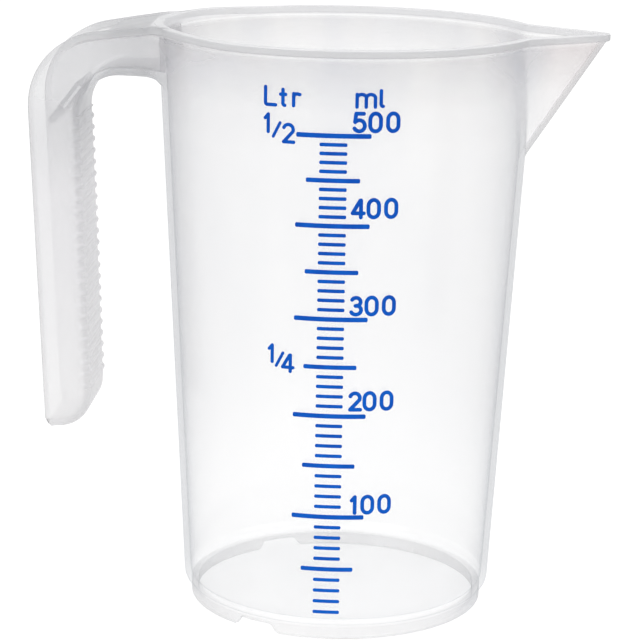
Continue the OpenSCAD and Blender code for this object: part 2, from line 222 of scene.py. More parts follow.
def spout_radius(angle, z, inset):
    """Distance from the jug axis to the spout's side in one direction."""
    angle = abs(math.remainder(angle, 2 * math.pi))
    if z < SPOUT_ZONE_LOW or angle > SPOUT_ZONE_HALF:
        return 0.0
    reach = KEEL_TOP_REACH - (RIM_BASE - min(z, RIM_BASE)) * KEEL_SLOPE
    centre = reach - KEEL_RADIUS
    radius = KEEL_RADIUS - inset
    turn = math.atan2(
        radius * math.cos(SPOUT_HALF_ANGLE), centre + radius * math.sin(SPOUT_HALF_ANGLE)
    )
    if angle <= turn:
        return centre * math.cos(angle) + math.sqrt(
            max(radius**2 - (centre * math.sin(angle)) ** 2, 0.0)
        )
    apex = centre + radius / math.sin(SPOUT_HALF_ANGLE)
    return apex * math.sin(SPOUT_HALF_ANGLE) / math.sin(SPOUT_HALF_ANGLE + angle)


def blend_width(z):
    share = clamp((z - KEEL_FOOT_HEIGHT) / SPOUT_BLEND_RISE)
    return SPOUT_BLEND_LOW + (SPOUT_BLEND - SPOUT_BLEND_LOW) * share


def outer_distance(angle, z):
    return smooth_max(wall_radius(z), spout_radius(angle, z, 0.0), blend_width(z))


def inner_distance(angle, z):
    width = blend_width(z) + SPOUT_BLEND_INSIDE
    return smooth_max(bore_radius(z), spout_radius(angle, z, SPOUT_WALL), width)


def cup_angles():
    """Directions of the columns of the cup, closer together round the spout."""
    angles = set(np.round(np.arange(-180, 180, COLUMN_STEP), 3))
    for reach, step in SPOUT_COLUMNS:
        angles |= set(np.round(np.arange(-reach, reach + 0.01, step), 3))
    return np.radians(sorted(angles))


ANGLES = cup_angles()


def plain_ring(radius, z):
    return [(radius * math.cos(a), radius * math.sin(a), z) for a in ANGLES]


def shaped_ring(distance, z, grow=0.0):
    """Ring that follows the cup's plan at a height, grown outwards square to the plan."""
    plan = np.array([
        (distance(a, z) * math.cos(a), distance(a, z) * math.sin(a)) for a in ANGLES
    ])
    along = np.roll(plan, -1, axis=0) - np.roll(plan, 1, axis=0)
    normal = np.stack([along[:, 1], -along[:, 0]], axis=1)
    normal /= np.linalg.norm(normal, axis=1)[:, None]
    plan = plan + grow * normal
    return [(x, y, z) for x, y in plan]


def notch_rise(angle):
    """How far the foot is cut away at its lower edge in one direction."""
    rise = 0.0
    for centre in NOTCH_ANGLES:
        off = abs(math.remainder(angle - math.radians(centre), 2 * math.pi)) * FOOT_RADIUS
        rise = max(rise, min(NOTCH_HEIGHT, (NOTCH_WIDTH / 2 - off) / NOTCH_SLOPE))
    return rise


def foot_ring_row(radius, z):
    top = FOOT_HEIGHT - NOTCH_LEFT
    return [
        (radius * math.cos(a), radius * math.sin(a), min(z + notch_rise(a), top))
        for a in ANGLES
    ]


def arc_points(centre, radius, start, end, count):
    """Points on an arc of a side view, angles in degrees."""
    return [
        (centre[0] + radius * math.cos(math.radians(t)),
         centre[1] + radius * math.sin(math.radians(t)))
        for t in np.linspace(start, end, count)
    ]


def cup_rows():
    """Rings of the cup from the middle of its underside round to the middle of its floor."""
    rows = [plain_ring(r, FOOT_HEIGHT) for r in FLOOR_RINGS]
    foot_inner = FOOT_RADIUS - FOOT_WALL
    fillet = (foot_inner - FOOT_FILLET, FOOT_HEIGHT - FOOT_FILLET)
    rows += [plain_ring(r, z) for r, z in arc_points(fillet, FOOT_FILLET, 90, 0, 5)]
    inner_edge, outer_edge = foot_inner + FOOT_EDGE, FOOT_RADIUS - FOOT_EDGE
    for middle, start, end in ((inner_edge, 180, 270), (outer_edge, 270, 360)):
        rows += [foot_ring_row(r, z)
                 for r, z in arc_points((middle, FOOT_EDGE), FOOT_EDGE, start, end, 5)]
    rows += [plain_ring(FOOT_RADIUS + out, FOOT_HEIGHT + up) for out, up in FOOT_COVE]
    tilt = math.degrees(WALL_ANGLE)
    corner_x = FLOOR_RADIUS + WALL_SLOPE * OUTER_CORNER - OUTER_CORNER / math.cos(WALL_ANGLE)
    corner = (corner_x, FOOT_HEIGHT + OUTER_CORNER)
    corner_stops = arc_points(corner, OUTER_CORNER, OUTER_CORNER_START, -tilt, 9)
    rows += [plain_ring(r, z) for r, z in corner_stops]
    low_heights = np.arange(LOWEST_RING, SPOUT_ZONE_LOW, LOW_STEP)
    high_heights = np.arange(SPOUT_ZONE_LOW, WALL_TOP, HIGH_STEP)
    rows += [shaped_ring(outer_distance, z) for z in (*low_heights, *high_heights)]
    rows += [shaped_ring(outer_distance, RIM_BASE + up, out) for out, up in RIM_COVE]
    edge = RIM_OVERHANG - RIM_EDGE
    band = arc_points((edge, RIM_BASE + RIM_EDGE), RIM_EDGE, -90, 0, 5)
    band += arc_points((edge, CUP_HEIGHT - RIM_EDGE), RIM_EDGE, 0, 90, 6)
    rows += [shaped_ring(outer_distance, z, grow) for grow, z in band]
    inside = (RIM_INNER_EDGE, CUP_HEIGHT - RIM_INNER_EDGE)
    rows += [shaped_ring(inner_distance, z, grow)
             for grow, z in arc_points(inside, RIM_INNER_EDGE, 90, 180, 5)]
    high_heights = np.arange(BORE_TOP, SPOUT_ZONE_LOW, -HIGH_STEP)
    rows += [shaped_ring(inner_distance, z) for z in (*high_heights, *low_heights[::-1])]
    low = bore_radius(FLOOR_TOP)
    inner_x = low + WALL_SLOPE * INNER_CORNER - INNER_CORNER / math.cos(WALL_ANGLE)
    corner = (inner_x, FLOOR_TOP + INNER_CORNER)
    rows += [plain_ring(r, z) for r, z in arc_points(corner, INNER_CORNER, -tilt, -90, 8)]
    rows += [plain_ring(r, FLOOR_TOP) for r in reversed(FLOOR_RINGS)]
    return rows


def mesh_from(name, verts, faces):
    """Mesh object in metres with its normals pointing out."""
    mesh = bpy.data.meshes.new(name)
    mesh.from_pydata([tuple(MM * c for c in v) for v in verts], [], faces)
    mesh.validate()
    work = bmesh.new()
    work.from_mesh(mesh)
    bmesh.ops.recalc_face_normals(work, faces=work.faces)
    work.to_mesh(mesh)
    work.free()
    piece = bpy.data.objects.new(name, mesh)
    bpy.context.scene.collection.objects.link(piece)
    return piece


def band_faces(first, second, count):
    """Quads between two closed rings of vertices, each given by its first vertex."""
    return [(first + j, first + (j + 1) % count, second + (j + 1) % count, second + j)
            for j in range(count)]


def stack_faces(base, rings, count):
    """Quads through rings of vertices that follow one another."""
    return [face for i in range(rings - 1)
            for face in band_faces(base + i * count, base + (i + 1) * count, count)]


def stack(name, rows, pole_start=None, pole_end=None):
    """Closed mesh through rings of equal length, ended by a pole or by a flat face."""
    count = len(rows[0])
    verts = [v for row in rows for v in row]
    faces = stack_faces(0, len(rows), count)
    last = (len(rows) - 1) * count
    for pole, start in ((pole_start, 0), (pole_end, last)):
        if pole is None:
            faces.append(tuple(range(start, start + count)))
        else:
            verts.append(pole)
            faces += [(start + j, start + (j + 1) % count, len(verts) - 1) for j in range(count)]
    return mesh_from(name, verts, faces)


def trimming_cone():
    """Solid cone inside the wall, to trim what runs into the cup."""
    rows = [plain_ring(wall_radius(z) - TRIM_INSET, z) for z in TRIM_HEIGHTS]
    return stack("cut_cup", rows, (0, 0, TRIM_HEIGHTS[0]), (0, 0, TRIM_HEIGHTS[-1]))


def combine(base, other, operation):
    """Joins or cuts two closed meshes and keeps the result in the first."""
    step = base.modifiers.new("combine", "BOOLEAN")
    step.operation = operation
    step.solver = "MANIFOLD"
    step.object = other
    bpy.context.view_layer.update()
    result = bpy.data.meshes.new_from_object(
        base.evaluated_get(bpy.context.evaluated_depsgraph_get())
    )
    base.modifiers.clear()
    old = base.data
    base.data = result
    bpy.data.meshes.remove(old)
    bpy.data.objects.remove(other, do_unlink=True)


def half_width(x):
    """Half width of the handle at a distance from the jug axis, on a smooth curve."""
    xs, ws = np.array(HALF_WIDTHS).T
    slopes = np.gradient(ws, xs)
    slopes[-2:] = 0
    i = int(np.clip(np.searchsorted(xs, -x) - 1, 0, len(xs) - 2))
    span = xs[i + 1] - xs[i]
    t = (-x - xs[i]) / span
    return float(
        (2 * t**3 - 3 * t**2 + 1) * ws[i] + (t**3 - 2 * t**2 + t) * span * slopes[i]
        + (3 * t**2 - 2 * t**3) * ws[i + 1] + (t**3 - t**2) * span * slopes[i + 1]
    )


def slope_line():
    """Tangent from the rim to the round back of the bend: slope and touching point."""
    dx, dz = BACK_CENTRE[0] + MOUTH_RADIUS, BACK_CENTRE[1] - CUP_HEIGHT
    distance = math.hypot(dx, dz)
    to_rim = math.atan2(-dz, -dx)
    angle = to_rim + math.acos(BACK_RADIUS / distance)
    touch = (BACK_CENTRE[0] + BACK_RADIUS * math.cos(angle),
             BACK_CENTRE[1] + BACK_RADIUS * math.sin(angle))
    return (touch[1] - CUP_HEIGHT) / (touch[0] + MOUTH_RADIUS), touch


TOP_SLOPE, TOP_TOUCH = slope_line()


def arm_top(x):
    return CUP_HEIGHT + TOP_SLOPE * min(x + MOUTH_RADIUS, 0.0)


def rib_bump(drop):
    """How far a rib stands out at a distance below the first rib."""
    index = round(drop / RIB_PITCH)
    if index < 0 or index >= RIB_COUNT:
        return 0.0
    off = drop - index * RIB_PITCH
    if abs(off) >= RIB_BAR:
        return 0.0
    return max(math.sqrt(RIB_BAR**2 - off**2) - (RIB_BAR - RIB_RISE), 0.0)


def handle_stations(inset):
    """Points on the finger side and the free edge, from the cup round to the grip's end.

    Each station is (finger x, finger z, edge x, edge z, rib height, share of the lip)."""
    centre = np.array([-FINGER_DISTANCE + GAP_CORNER, GAP_ROOF - GAP_CORNER])
    radius = GAP_CORNER + inset
    out = np.array([-math.cos(GRIP_LEAN), -math.sin(GRIP_LEAN)])
    down = np.array([math.sin(GRIP_LEAN), -math.cos(GRIP_LEAN)])
    stations = []
    for x in np.arange(-ARM_START, centre[0], -ARM_STEP):
        stations.append((x, GAP_ROOF + inset, x, arm_top(x), 0.0, 1.0))
    for turn in np.linspace(90, 180 + math.degrees(GRIP_LEAN), BEND_STATIONS):
        d = np.array([math.cos(math.radians(turn)), math.sin(math.radians(turn))])
        edge = back_hit(centre, d)
        if edge[1] < BACK_CENTRE[1]:
            reach = GAP_CORNER + CHANNEL_DEPTH
            edge = centre + reach / math.cos(math.radians(180 - turn) + GRIP_LEAN) * d
        lip = clamp((edge[0] + LIP_END) / LIP_FADE)
        point = centre + radius * d
        stations.append((*point, *edge, 0.0, lip))
    length = (centre[1] - GRIP_END) / math.cos(GRIP_LEAN)
    straight = length - END_CORNER
    steps = int(straight / (RIB_PITCH / RIB_STEPS))
    depth_end = CHANNEL_DEPTH - GRIP_TAPER
    for s in np.linspace(0, straight, steps)[1:]:
        depth = CHANNEL_DEPTH - GRIP_TAPER * s / length
        side = centre + GAP_CORNER * out + s * down
        bump = rib_bump(RIB_TOP - side[1])
        point = side + inset * out
        stations.append((*point, *(side + depth * out), bump, 0.0))
    corner = centre + (GAP_CORNER + END_CORNER) * out + straight * down
    edge_top = centre + (GAP_CORNER + depth_end) * out
    turns = np.linspace(0, 90, 13)[1:]
    flats = np.linspace(0, depth_end - END_CORNER - BEVEL_WIDTH, 4)[1:]
    total = len(turns) + len(flats)
    for i in range(total):
        drop = (i + 1) / total * (END_CORNER - BEVEL_HEIGHT)
        edge = edge_top + (straight + drop) * down
        if i < len(turns):
            t = math.radians(turns[i])
            point = corner + (END_CORNER - inset) * (-out * math.cos(t) + down * math.sin(t))
        else:
            point = corner + (END_CORNER - inset) * down + flats[i - len(turns)] * out
        stations.append((*point, *edge, 0.0, 0.0))
    return stations


def back_hit(start, d):
    """Point where a ray from the bend's middle meets the free edge of the handle."""
    t = (arm_top(start[0]) - start[1]) / max(d[1] - TOP_SLOPE * d[0], 1e-6)
    hit = start + t * d
    if hit[0] > TOP_TOUCH[0]:
        return hit
    off = start - np.array(BACK_CENTRE)
    b = float(off @ d)
    return start + (-b + math.sqrt(b * b - float(off @ off) + BACK_RADIUS**2)) * d


def root_drop(x, y):
    """How far the underside of the arm comes down in its rounding against the cup."""
    away = clamp((math.hypot(x, y) - wall_radius(GAP_ROOF)) / ROOT_REACH)
    return ROOT_DROP * (1 - math.sqrt(1 - (1 - away) ** 2))


def handle_outer():
    """Outside of the handle with its lips along the arm and the ribs on the finger side."""
    rows = []
    for fx, fz, ex, ez, bump, lip in handle_stations(0.0):
        finger, edge = np.array([fx, fz]), np.array([ex, ez])
        depth = np.linalg.norm(edge - finger)
        d = (edge - finger) / depth
        w = half_width(0.5 * (fx + ex))
        r = min(CORNER, CORNER_SHARE * depth)
        over = lip * RIM_OVERHANG
        lip_root = depth - LIP_HEIGHT
        half = [(w + over - EDGE_ROUND, depth), (w + over - EDGE_CUT, depth - EDGE_CUT),
                (w + over, depth - EDGE_ROUND), (w + over, depth - LIP_HEIGHT * 0.5),
                (w + over, lip_root + EDGE_ROUND / 2), (w + 0.5 * over, lip_root),
                (w, lip_root - EDGE_ROUND)]
        half += [(w, v) for v in np.linspace(lip_root - EDGE_ROUND, r, 5)[1:-1]]
        for t in np.linspace(0, 90, 9):
            c, s = math.cos(math.radians(t)), math.sin(math.radians(t))
            rise = bump * clamp(RIB_FADE * s - (RIB_FADE - 1))
            half.append((w - r + (r + rise) * c, r - (r + rise) * s))
        half += [((w - r) * u, -bump) for u in (0.66, 0.33)]
        ring = [(y, v) for y, v in half] + [(0.0, -bump)] + [(-y, v) for y, v in reversed(half)]
        row = []
        for y, v in ring:
            x, z = finger + v * d
            share = lip * clamp((ROOT_SIDE * depth - v) / (ROOT_SIDE * depth - r))
            row.append((x, y, z - share * root_drop(x, y)))
        rows.append(row)
    return stack("moulding_handle", rows)


def handle_hollow():
    """Open channel of the handle, from the web out past the free edge."""
    rows = []
    outside = handle_stations(0.0)
    for (fx, fz, ex, ez, *_), (ox, *_) in zip(handle_stations(HANDLE_WALL), outside):
        finger, edge = np.array([fx, fz]), np.array([ex, ez])
        depth = np.linalg.norm(edge - finger)
        d = (edge - finger) / depth
        w = half_width(0.5 * (ox + ex)) - HANDLE_WALL
        r = min(CORNER - HANDLE_WALL, HOLLOW_CORNER_SHARE * depth)
        wide, narrow = HOLLOW_FLARE
        half = [(w + wide, depth + HOLLOW_OVER), (w + wide, depth),
                (w + narrow, depth - EDGE_CUT), (w, depth - EDGE_ROUND)]
        half += [(w, v) for v in np.linspace(depth - EDGE_ROUND, r, 5)[1:-1]]
        for t in np.linspace(0, 90, 6):
            c, s = math.cos(math.radians(t)), math.sin(math.radians(t))
            half.append((w - r + r * c, r - r * s))
        ring = half + [(0.0, 0.0)] + [(-y, v) for y, v in reversed(half)]
        rows.append([(finger[0] + v * d[0], y, finger[1] + v * d[1]) for y, v in ring])
    step = -HOLLOW_OVER * np.array([math.cos(GRIP_LEAN), 0, math.sin(GRIP_LEAN)])
    rows.append([tuple(np.array(p) + step) for p in rows[-1]])
    return stack("cut_hollow", rows)


def plate(name, path, thickness):
    """Flat plate between the handle's side walls along a path of its middle line."""
    rows = []
    for i, (x, z) in enumerate(path):
        a = np.array(path[max(i - 1, 0)])
        b = np.array(path[min(i + 1, len(path) - 1)])
        along = (b - a) / np.linalg.norm(b - a)
        normal = np.array([-along[1], along[0]]) * thickness / 2
        w = half_width(x) - PLATE_MARGIN
        rows.append([
            (x + normal[0], -w, z + normal[1]), (x + normal[0], w, z + normal[1]),
            (x - normal[0], w, z - normal[1]), (x - normal[0], -w, z - normal[1]),
        ])
    return stack(name, rows)


def build_moulding():
    """Cup, foot, rim, spout, handle and brace as one closed skin."""
    moulding = stack("moulding", cup_rows(), (0, 0, FOOT_HEIGHT), (0, 0, FLOOR_TOP))
    handle = handle_outer()
    combine(handle, handle_hollow(), "DIFFERENCE")
    bridge_path = [(x, arm_top(x) - BRIDGE_DROP - BRIDGE_THICKNESS / 2)
                   for x in np.linspace(-ARM_NEAR, -BRIDGE_END, 20)]
    combine(handle, plate("bridge", bridge_path, BRIDGE_THICKNESS), "UNION")
    brace_path = [
        (BRACE_TOP[0] - s * math.cos(BRACE_SLOPE), BRACE_TOP[1] - s * math.sin(BRACE_SLOPE))
        for s in np.linspace(0, BRACE_LENGTH, 6)
    ]
    combine(handle, plate("brace", brace_path, BRACE_THICKNESS), "UNION")
    combine(handle, trimming_cone(), "DIFFERENCE")
    combine(moulding, handle, "UNION")
    return moulding


def below_edge(x, z):
    """Distance of a point of the handle from its free edge, in the side view."""
    if x > TOP_TOUCH[0]:
        return arm_top(x) - z
    if z > BACK_CENTRE[1]:
        return BACK_RADIUS - math.hypot(x - BACK_CENTRE[0], z - BACK_CENTRE[1])
    dx, dz = x + FINGER_DISTANCE - GAP_CORNER, z - GAP_ROOF + GAP_CORNER
    down = dx * math.sin(GRIP_LEAN) - dz * math.cos(GRIP_LEAN)
    out = -dx * math.cos(GRIP_LEAN) - dz * math.sin(GRIP_LEAN) - GAP_CORNER
    taper = GRIP_TAPER * down / (GAP_ROOF - GAP_CORNER - GRIP_END)
    return CHANNEL_DEPTH - taper - out


def over_arm(x, y):
    """Whether a point lies within the plan of the arm and its lips."""
    return x < -HALF_WIDTHS[0][0] and abs(y) < half_width(x) + RIM_OVERHANG + MARK_SLACK


def cup_edge_shade_share(x, y, z):
    """Painted shade on the cup's thick edges: 1 on the band of the rim, less on the keel, 0
    elsewhere.
    """
    outside = math.hypot(x, y) - outer_distance(math.atan2(y, x), z)
    if RIM_BASE - MARK_NEAR < z < CUP_HEIGHT - MARK_SLACK:
        return 1.0 if outside > BAND_OUT else 0.0
    on_keel = abs(y) < KEEL_HALF and x > KEEL_NEAR and outside > -KEEL_SKIN
    return KEEL_EDGE_SHADE if on_keel and z < RIM_BASE else 0.0


def edge_shade_share(x, y, z):
    """Painted shade on thick edges: up to 1 on the band of the rim and the lips, less on keel and
    grip.
    """
    if math.hypot(x, y) < MOUTH_RADIUS + MARK_SLACK or not over_arm(x, y):
        return cup_edge_shade_share(x, y, z)
    if abs(y) < half_width(x) - LIP_INSIDE:
        return 0.0
    fade = clamp((x + EDGE_END) / EDGE_FADE)
    below = below_edge(x, z)
    if below < LIP_HEIGHT and z > BACK_CENTRE[1] and fade > GRIP_EDGE_SHADE:
        return fade
    return GRIP_EDGE_SHADE if below < GRIP_EDGE_WIDTH else 0.0


def handle_share(x, y, z):
    """1 on the handle, falling to 0 where its arm meets the cup, and 0 on the cup."""
    if not over_arm(x, y):
        return 0.0
    outside = math.hypot(x, y) - wall_radius(z)
    return clamp((outside - RIM_OVERHANG) / HANDLE_FADE)


def mark_shares(piece):
    """Stores at each point what the material needs to know: painted shade on a thick edge, handle.
    """
    for name, share in (("edge", edge_shade_share), ("handle", handle_share)):
        mark = piece.data.attributes.new(name, "FLOAT", "POINT")
        for vertex, value in zip(piece.data.vertices, mark.data):
            value.value = share(*(c / MM for c in vertex.co))


def lift_root(piece):
    """Raises the rim and spreads the lips where the arm grows out of the cup."""
    for vertex in piece.data.vertices:
        x, y, z = (c / MM for c in vertex.co)
        if x > -RISE[0][0] or z < LIFT_LOW:
            continue
        height = clamp((z - LIFT_LOW) / LIFT_HEIGHT)
        height = height * height * (3 - 2 * height)
        outside = math.hypot(x, y) - wall_radius(z)
        away = clamp((outside - RIM_OVERHANG) / LIFT_REACH)
        rise = np.interp(-x, *zip(*RISE)) * height
        spread = np.interp(-x, *zip(*SPREAD)) * height * away / half_width(min(x, -ARM_NEAR))
        vertex.co = (x * MM, y * (1 + spread) * MM, (z + rise) * MM)


def finish_mesh(piece, material):
    """Shades a piece smooth up to a bend of the surface and gives it one material."""
    mesh = piece.data
    mesh.polygons.foreach_set("use_smooth", [True] * len(mesh.polygons))
    mesh.set_sharp_from_angle(angle=math.radians(SMOOTH_ANGLE))
    mesh.update()
    mesh.materials.clear()
    mesh.materials.append(material)


def on_wall(u, z, out):
    """Point on the cup's wall: u runs round the wall to the right, out stands off it."""
    radius = wall_radius(z)
    angle = -math.pi / 2 + u / radius
    r = radius + out * math.cos(WALL_ANGLE)
    return (r * math.cos(angle), r * math.sin(angle), z - out * math.sin(WALL_ANGLE))


def line_body(volume, length, breadth):
    """One line of the scale with rounded corners, lying on the wall."""
    z0 = fill_height(volume)
    ends = [LINE_CORNER * (1 - math.cos(math.radians(t))) for t in LINE_CORNER_STOPS]
    left = [(-length / 2 + e, math.sqrt(max(LINE_CORNER**2 - (LINE_CORNER - e) ** 2, 0.0)))
            for e in ends]
    middle = list(np.linspace(-length / 2 + LINE_CORNER, length / 2 - LINE_CORNER,
                              max(int(length), 4) + 1)[1:-1])
    stops = left + [(u, LINE_CORNER) for u in middle] + [(-u, s) for u, s in reversed(left)]
    rows = []
    for u, s in stops:
        h = breadth / 2 - LINE_CORNER + s
        section = ((-h, INK_IN), (-h, INK_SHOULDER), (INK_BEVEL - h, INK_OUT),
                   (h - INK_BEVEL, INK_OUT), (h, INK_SHOULDER), (h, INK_IN))
        rows.append([on_wall(u, z0 + up, out) for up, out in section])
    return rows


def build_scale_lines():
    verts, faces = [], []
    for volume in range(SCALE_STEP, SCALE_TOP + 1, SCALE_STEP):
        size = next(s for step, s in LINE_SIZES.items() if volume % step == 0)
        rows = line_body(volume, *size)
        base, count = len(verts), len(rows[0])
        verts += [p for row in rows for p in row]
        faces += stack_faces(base, len(rows), count)
        for start in (base, base + (len(rows) - 1) * count):
            faces.append(tuple(range(start, start + count)))
    return mesh_from("scale_lines", verts, faces)


def bow(cx, cz, rx, rz, start, end, count):
    """Points on an upright oval, angles in degrees."""
    return [(cx + rx * math.cos(math.radians(t)), cz + rz * math.sin(math.radians(t)))
            for t in np.linspace(start, end, count)]


# Middle lines of the strokes of each sign in millimetres, from its lower left corner.
# A line that ends where it begins is a loop.
SIGNS = {
    "0": [bow(1.15, 2.5, 1.15, 1.35, 0, 180, 15) + bow(1.15, 1.3, 1.15, 1.3, 180, 360, 15)
          + [(2.3, 2.5)]],
    "1": [[(0.0, 2.95), (0.72, 3.8)], [(0.72, 3.8), (0.72, 0.0)]],
    "2": [bow(1.1, 2.72, 1.08, 1.08, 160, -25, 14), [(2.06, 2.24), (0.05, 0.0)],
          [(0.05, 0.0), (2.3, 0.0)]],
    "3": [bow(1.08, 2.86, 1.0, 0.94, 150, -78, 14), bow(1.06, 1.02, 1.14, 1.02, 78, -152, 16),
          [(1.2, 1.96), (0.95, 1.96)]],
    "4": [[(1.78, 3.75), (1.78, 0.0)], [(1.6, 3.72), (0.0, 0.9)], [(0.0, 0.9), (2.4, 0.9)]],
    "5": [[(2.05, 3.8), (0.42, 3.8)], [(0.42, 3.8), (0.22, 2.1)],
          bow(1.12, 1.2, 1.18, 1.2, 140, -150, 18)],
    "L": [[(0.0, 3.8), (0.0, 0.5)] + bow(0.45, 0.45, 0.45, 0.45, 180, 270, 5),
          [(0.45, 0.0), (2.35, 0.0)]],
    "t": [[(0.55, 3.4), (0.55, 0.5)] + bow(0.95, 0.45, 0.4, 0.45, 180, 275, 5),
          [(0.0, 2.35), (1.15, 2.35)]],
    "r": [[(0.0, 2.6), (0.0, 0.0)],
          [(0.0, 1.9)] + bow(0.75, 1.85, 0.75, 0.72, 165, 62, 7) + [(1.35, 2.45)]],
    "m": [[(0.0, 2.7), (0.0, 0.0)],
          [(0.0, 1.95)] + bow(0.98, 1.95, 0.98, 0.75, 165, 0, 9) + [(1.96, 0.0)],
          [(1.96, 1.95)] + bow(2.94, 1.95, 0.98, 0.75, 165, 0, 9) + [(3.92, 0.0)]],
    "l": [[(0.0, 3.35), (0.0, 0.5)] + bow(0.42, 0.45, 0.42, 0.45, 180, 275, 5)],
    "/": [[(0.0, 0.0), (1.55, 3.05)]],
}
# Signs on the jug: sign, left edge and lower edge of its middle lines, stroke
PRINT = [
    ("L", -15.17, 122.65, LETTER_STROKE), ("t", -11.7, 122.7, LETTER_STROKE),
    ("r", -8.75, 122.75, LETTER_STROKE), ("m", 4.85, 122.95, LETTER_STROKE),
    ("l", 10.0, 123.1, LETTER_STROKE),
    ("1", -15.2, 116.75, LETTER_STROKE), ("/", -13.3, 115.8, SLASH_STROKE),
    ("2", -10.95, 114.8, LETTER_STROKE), ("1", -13.8, 65.3, LETTER_STROKE),
    ("/", -12.1, 64.5, SLASH_STROKE), ("4", -10.6, 63.45, LETTER_STROKE),
]
for number, left, low in (("500", 4.3, 117.7), ("400", 4.35, 98.85), ("300", 4.4, 77.1),
                          ("200", 4.55, 55.3), ("100", 5.35, 31.05)):
    PRINT.append((number[0], left, low, DIGIT_STROKE))
    PRINT += [("0", zero, low, DIGIT_STROKE) for zero in (7.75, 11.6)]


def stroke_ring(points, width):
    """Outline of a stroke with round ends, or its two outlines where it is a loop."""
    p = np.array(points, float)
    looped = len(p) > 3 and np.linalg.norm(p[0] - p[-1]) < LOOP_GAP
    if looped:
        p = p[:-1]
        along = np.roll(p, -1, axis=0) - np.roll(p, 1, axis=0)
    else:
        along = np.gradient(p, axis=0)
    along /= np.linalg.norm(along, axis=1)[:, None]
    side = np.stack([-along[:, 1], along[:, 0]], axis=1) * width / 2
    left, right = p + side, p - side
    if looped:
        return left, right
    cap = [math.pi * k / CAP_STEPS for k in range(1, CAP_STEPS)]
    end = [p[-1] + math.cos(t) * side[-1] + math.sin(t) * along[-1] * width / 2 for t in cap]
    start = [p[0] - math.cos(t) * side[0] - math.sin(t) * along[0] * width / 2 for t in cap]
    return np.array(list(left) + end + list(right[::-1]) + start), None


def strokes_layer(name, layer):
    """Flat bodies of one stroke of every sign, before they are laid on the wall."""
    verts, faces = [], []
    for sign, left, low, width in PRINT:
        strokes = SIGNS[sign]
        if layer >= len(strokes):
            continue
        outline, inner = stroke_ring(strokes[layer], width)
        n, base = len(outline), len(verts)
        rings = [outline] if inner is None else [outline, inner]
        for ring in rings:
            for out in (INK_IN, INK_OUT):
                verts += [(left + u, out, low + z) for u, z in ring]
        if inner is None:
            faces += band_faces(base, base + n, n)
            faces.append(tuple(range(base, base + n)))
            faces.append(tuple(range(base + n, base + 2 * n)))
        else:
            for first, second in ((0, 1), (2, 3), (0, 2), (1, 3)):
                faces += band_faces(base + first * n, base + second * n, n)
    return mesh_from(name, verts, faces)


def build_numerals():
    """Signs of the print: strokes joined while flat, then cut in strips and laid on the wall."""
    piece = strokes_layer("scale_numerals", 0)
    for layer in (1, 2):
        combine(piece, strokes_layer("stroke", layer), "UNION")
    work = bmesh.new()
    work.from_mesh(piece.data)
    for u in np.arange(-PRINT_HALF_WIDTH, PRINT_HALF_WIDTH, PRINT_STRIP):
        bmesh.ops.bisect_plane(
            work, geom=work.verts[:] + work.edges[:] + work.faces[:], dist=1e-7,
            plane_co=(u * MM, 0, 0), plane_no=(1, 0, 0),
        )
    bmesh.ops.triangulate(work, faces=[f for f in work.faces if len(f.verts) > 4])
    for v in work.verts:
        v.co = Vector(on_wall(v.co.x / MM, v.co.z / MM, v.co.y / MM)) * MM
    bmesh.ops.recalc_face_normals(work, faces=work.faces)
    work.to_mesh(piece.data)
    work.free()
    return piece


def new_material(name):
    material = bpy.data.materials.new(name)
    material.use_nodes = True
    tree = material.node_tree
    tree.nodes.clear()
    return material, tree


def node(tree, kind, **values):
    """Adds a node; a value is set on the input of that name, or on the node itself."""
    made = tree.nodes.new(kind)
    for key, value in values.items():
        if hasattr(made, key):
            setattr(made, key, value)
        else:
            made.inputs[key.replace("_", " ")].default_value = value
    return made


def connect(tree, value, socket):
    """Links a socket to another one, or sets a number or a colour on it."""
    if isinstance(value, bpy.types.NodeSocket):
        tree.links.new(value, socket)
    else:
        socket.default_value = value


def noise(tree, coordinates, scale, detail, stretch=(1, 1, 1)):
    """Noise over the object; scale is in waves per metre."""
    mapping = node(tree, "ShaderNodeMapping")
    mapping.inputs["Scale"].default_value = stretch
    tree.links.new(coordinates, mapping.inputs["Vector"])
    made = node(tree, "ShaderNodeTexNoise", Scale=scale, Detail=detail, Roughness=0.5)
    tree.links.new(mapping.outputs["Vector"], made.inputs["Vector"])
    return made.outputs["Fac"]


def ranged(tree, value, low, high, to_low=0.0, to_high=1.0):
    """Number that runs between two others while a value runs from low to high."""
    made = node(tree, "ShaderNodeMapRange")
    for socket, number in zip(("From Min", "From Max", "To Min", "To Max"),
                              (low, high, to_low, to_high)):
        made.inputs[socket].default_value = number
    tree.links.new(value, made.inputs["Value"])
    return made.outputs["Result"]


def maths(tree, operation, a, b):
    made = node(tree, "ShaderNodeMath", operation=operation)
    for socket, value in zip(made.inputs, (a, b)):
        connect(tree, value, socket)
    return made.outputs["Value"]


def mix_numbers(tree, share, first, second):
    made = node(tree, "ShaderNodeMix", data_type="FLOAT")
    for name, value in (("Factor", share), ("A", first), ("B", second)):
        connect(tree, value, made.inputs[name])
    return made.outputs["Result"]


def mix_colours(tree, share, first, second):
    made = node(tree, "ShaderNodeMix", data_type="RGBA")
    for name, value in (("Factor_Float", share), ("A_Color", first), ("B_Color", second)):
        connect(tree, value, next(i for i in made.inputs if i.identifier == name))
    return next(o for o in made.outputs if o.identifier == "Result_Color")


def by_height(tree, height, stops):
    """Number that follows a list of heights in millimetres and values."""
    top = max(z for z, _ in stops)
    made = node(tree, "ShaderNodeValToRGB")
    marks = made.color_ramp.elements
    while len(marks) < len(stops):
        marks.new(0.5)
    for mark, (z, _) in zip(marks, stops):
        mark.position = z / top
    for mark, (_, value) in zip(marks, stops):
        mark.color = (value, value, value, 1)
    tree.links.new(ranged(tree, height, 0.0, top * MM), made.inputs["Fac"])
    return made.outputs["Color"]


